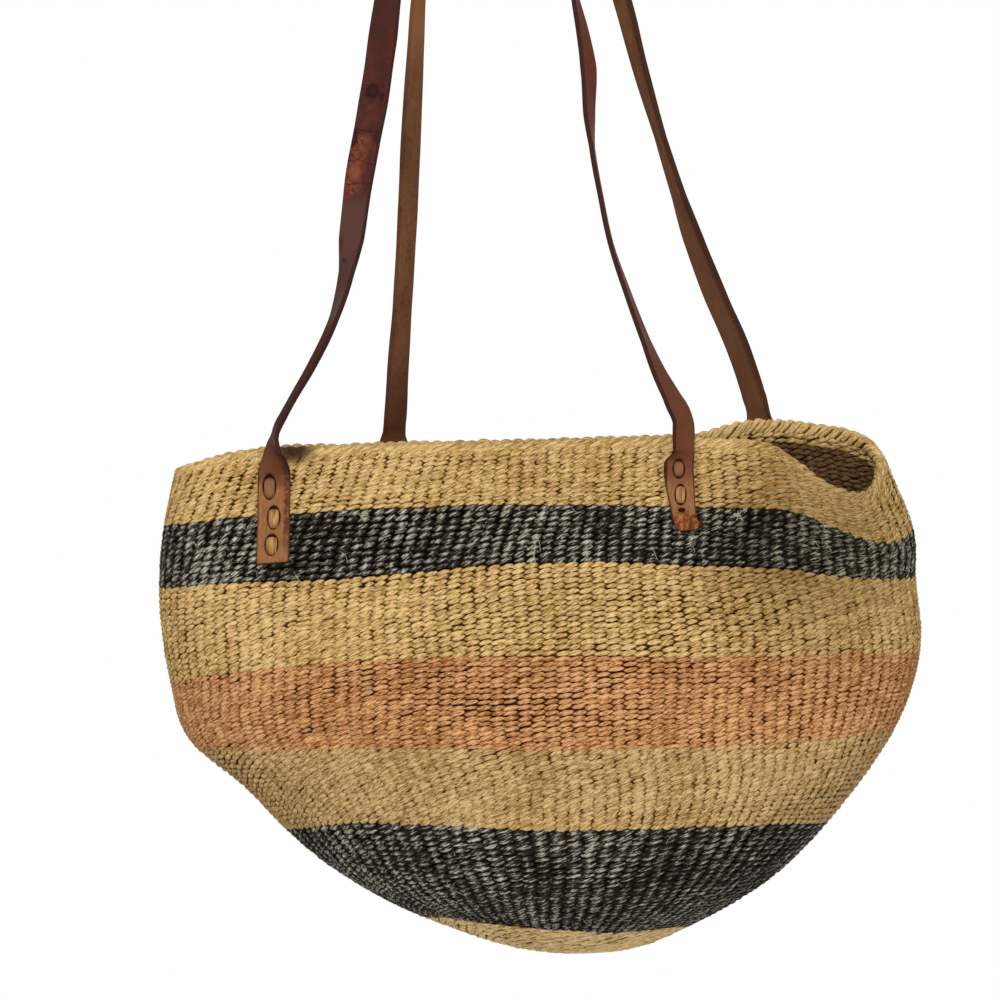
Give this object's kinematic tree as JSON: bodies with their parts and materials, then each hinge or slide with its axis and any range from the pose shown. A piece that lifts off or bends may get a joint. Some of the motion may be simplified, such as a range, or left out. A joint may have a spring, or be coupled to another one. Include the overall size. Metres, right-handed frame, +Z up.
{
  "type": "woven basket bag",
  "caption": "Round-bottomed twined sisal basket with coloured bands, a pinched mouth and leather shoulder straps laced to its wall.",
  "frame": {"origin": "the hang point, under the crowns of the two straps, where a hook or a hand holds the basket", "axes": "+X to the right of the front, +Y to the back, +Z up"},
  "size_m": [0.4107, 0.252, 0.5831],
  "materials": {
    "natural_sisal": "matt twined sisal",
    "pale_sisal": "matt twined sisal",
    "rust_sisal": "matt dyed sisal",
    "charcoal_sisal": "matt dyed sisal with grey flecks",
    "strap_leather": "worn, satin",
    "tab_leather": "worn, satin",
    "lace": "dry, matt"
  },
  "bodies": {
    "basket": {"base_disc": "pale_sisal", "lower_dark_band": "charcoal_sisal", "lower_natural_band": "natural_sisal", "rust_band": "rust_sisal", "middle_natural_band": "natural_sisal", "upper_dark_band": "charcoal_sisal", "upper_natural_band": "natural_sisal", "rim_braid": "pale_sisal", "front_left_tab": "tab_leather", "front_right_tab": "tab_leather", "back_left_tab": "tab_leather", "back_right_tab": "tab_leather", "front_left_lace": "lace", "front_right_lace": "lace", "back_left_lace": "lace", "back_right_lace": "lace"},
    "front_strap": {"front_strap": "strap_leather"},
    "back_strap": {"back_strap": "strap_leather"}
  },
  "joints": [
    {"name": "front_strap_swing", "type": "hinge", "parent": "basket", "child": "front_strap", "pos_m": [-0.01439, -0.02568, -0.30992], "axis": [0.9999, 0.0009, 0.0167], "range_deg": [0, 140]},
    {"name": "back_strap_swing", "type": "hinge", "parent": "basket", "child": "back_strap", "pos_m": [0.03861, 0.02831, -0.30388], "axis": [-0.9985, -0.0279, -0.0475], "range_deg": [0, 140]}
  ]
}
